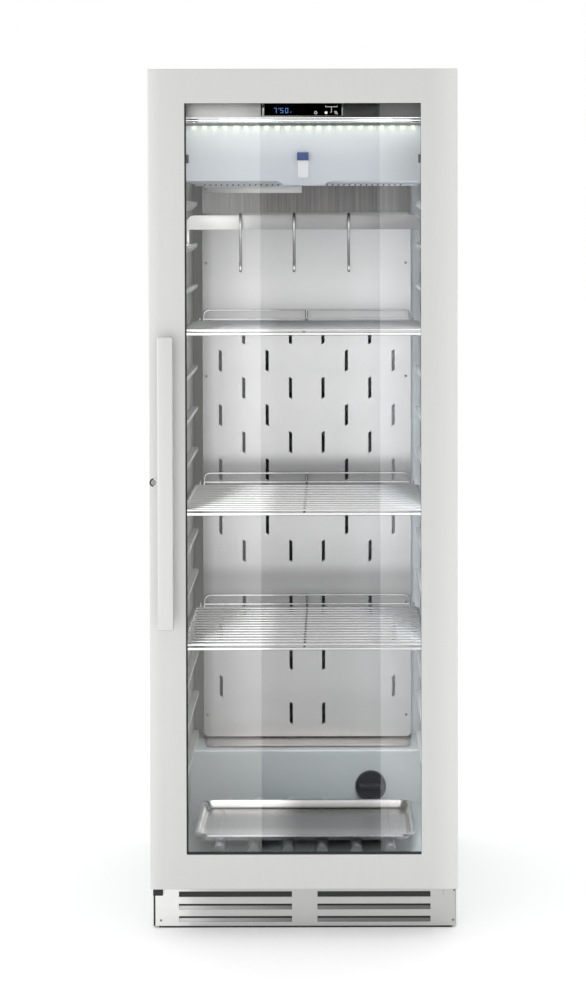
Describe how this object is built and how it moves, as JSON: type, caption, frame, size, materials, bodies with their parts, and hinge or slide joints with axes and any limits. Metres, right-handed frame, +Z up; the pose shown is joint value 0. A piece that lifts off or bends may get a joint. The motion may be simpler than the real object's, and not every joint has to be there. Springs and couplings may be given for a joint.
{
  "type": "dry aging cabinet",
  "caption": "Tall free-standing refrigerated cabinet with a framed glass door, wire shelves, hanging hooks and a drip tray, for ageing meat.",
  "frame": {"origin": "centre of the underside of the bounding box, on the floor", "axes": "+Z up, the door faces -Y, +X to the right seen from the front"},
  "size_m": [0.595, 0.725, 1.68],
  "materials": {
    "satin_steel": "satin brushed stainless steel",
    "bright_steel": "polished stainless wire and sheet",
    "coated_sheet": "fine satin coat on steel sheet",
    "black_metal": "black satin paint",
    "aluminium": "satin anodised",
    "liner_plastic": "moulded pale grey plastic liner",
    "foam": "rigid foam",
    "black_plastic": "moulded black plastic",
    "display_glass": "gloss black touch panel",
    "sensor_plastic": "white moulded sensor case",
    "lamp": "milky lamp cover",
    "rubber": "matt black rubber",
    "pane": "clear float glass"
  },
  "bodies": {
    "cabinet": {"side_panel_left": "coated_sheet", "side_panel_right": "coated_sheet", "top_panel": "coated_sheet", "rear_panel": "coated_sheet", "front_frame": "coated_sheet", "liner_left": "liner_plastic", "liner_right": "liner_plastic", "liner_top": "liner_plastic", "liner_rear": "liner_plastic", "liner_floor": "liner_plastic", "insulation": "foam", "rear_duct_panel": "satin_steel", "fan_cover_panel": "satin_steel", "evaporator_housing": "coated_sheet", "humidity_sensor": "sensor_plastic", "evaporator_coil": "aluminium", "fan_bracket": "black_metal", "lamp_profile": "aluminium", "lamp_strip": "lamp", "control_fascia": "satin_steel", "control_display": "display_glass", "base_frame": "black_metal", "plinth_grille": "satin_steel", "top_hinge_bracket": "black_metal", "bottom_hinge_bracket": "black_metal", "hinge_hole_plug": "black_plastic", "compressor": "black_metal", "evaporation_pan": "black_plastic", "condenser": "aluminium", "condenser_shroud": "black_metal", "rear_grille": "coated_sheet", "power_inlet": "black_plastic", "lock_strike": "bright_steel"},
    "door": {"door_frame": "satin_steel", "door_inner_frame": "liner_plastic", "outer_glass": "pane", "inner_glass": "pane", "glass_spacer": "aluminium", "glazing_gasket": "rubber", "door_gasket": "rubber", "handle": "satin_steel", "lock_body": "bright_steel"},
    "lock": {"lock_core": "bright_steel"},
    "filter": {"filter_cap": "black_plastic"},
    "inner_fan": {"evaporator_fan": "black_plastic"},
    "outer_fan": {"condenser_fan": "black_plastic"},
    "top_shelf": {"shelf_top": "bright_steel"},
    "middle_shelf": {"shelf_middle": "bright_steel"},
    "bottom_shelf": {"shelf_bottom": "bright_steel"},
    "drip_tray": {"tray": "bright_steel"},
    "rail": {"hanging_rail": "satin_steel"},
    "left_hook": {"hook_left": "bright_steel"},
    "centre_hook": {"hook_centre": "bright_steel"},
    "right_hook": {"hook_right": "bright_steel"},
    "front_left_foot": {"foot_front_left": "black_plastic"},
    "front_right_foot": {"foot_front_right": "black_plastic"},
    "rear_left_foot": {"foot_rear_left": "black_plastic"},
    "rear_right_foot": {"foot_rear_right": "black_plastic"}
  },
  "joints": [
    {"name": "door_swing", "type": "hinge", "parent": "cabinet", "child": "door", "pos_m": [0.282, -0.2925, 0.9], "axis": [0, 0, 1], "range_deg": [0, 110]},
    {"name": "lock_turn", "type": "hinge", "parent": "door", "child": "lock", "pos_m": [-0.288, -0.3175, 0.885], "axis": [0, -1, 0], "range_deg": [0, 90]},
    {"name": "filter_cap_turn", "type": "hinge", "parent": "cabinet", "child": "filter", "pos_m": [0.137, 0.1375, 0.174], "axis": [0, -1, 0], "range_deg": [0, 90]},
    {"name": "evaporator_fan_spin", "type": "hinge", "parent": "cabinet", "child": "inner_fan", "pos_m": [0, 0.1325, 1.5219], "axis": [0, 1, 0], "continuous": true},
    {"name": "condenser_fan_spin", "type": "hinge", "parent": "cabinet", "child": "outer_fan", "pos_m": [-0.13, 0.2735, 0.0923], "axis": [0, 1, 0], "continuous": true},
    {"name": "top_shelf_slide", "type": "slide", "parent": "cabinet", "child": "top_shelf", "axis": [0, -1, 0], "range_m": [-0.012, 0.03]},
    {"name": "middle_shelf_slide", "type": "slide", "parent": "cabinet", "child": "middle_shelf", "axis": [0, -1, 0], "range_m": [-0.012, 0.03]},
    {"name": "bottom_shelf_slide", "type": "slide", "parent": "cabinet", "child": "bottom_shelf", "axis": [0, -1, 0], "range_m": [-0.012, 0.03]},
    {"name": "tray_slide", "type": "slide", "parent": "cabinet", "child": "drip_tray", "axis": [0, -1, 0], "range_m": [-0.085, 0.03]},
    {"name": "hanging_rail_slide", "type": "slide", "parent": "cabinet", "child": "rail", "axis": [0, 1, 0], "range_m": [-0.008, 0.36]},
    {"name": "left_hook_swing", "type": "hinge", "parent": "rail", "child": "left_hook", "pos_m": [-0.124, -0.2165, 1.399], "axis": [1, 0, 0], "range_deg": [-10, 10]},
    {"name": "centre_hook_swing", "type": "hinge", "parent": "rail", "child": "centre_hook", "pos_m": [-0.0185, -0.2165, 1.399], "axis": [1, 0, 0], "range_deg": [-10, 10]},
    {"name": "right_hook_swing", "type": "hinge", "parent": "rail", "child": "right_hook", "pos_m": [0.089, -0.2165, 1.399], "axis": [1, 0, 0], "range_deg": [-10, 10]},
    {"name": "front_left_foot_turn", "type": "hinge", "parent": "cabinet", "child": "front_left_foot", "pos_m": [-0.262, -0.2075, 0.005], "axis": [0, 0, 1], "continuous": true},
    {"name": "front_right_foot_turn", "type": "hinge", "parent": "cabinet", "child": "front_right_foot", "pos_m": [0.262, -0.2075, 0.005], "axis": [0, 0, 1], "continuous": true},
    {"name": "rear_left_foot_turn", "type": "hinge", "parent": "cabinet", "child": "rear_left_foot", "pos_m": [-0.262, 0.3125, 0.005], "axis": [0, 0, 1], "continuous": true},
    {"name": "rear_right_foot_turn", "type": "hinge", "parent": "cabinet", "child": "rear_right_foot", "pos_m": [0.262, 0.3125, 0.005], "axis": [0, 0, 1], "continuous": true}
  ]
}
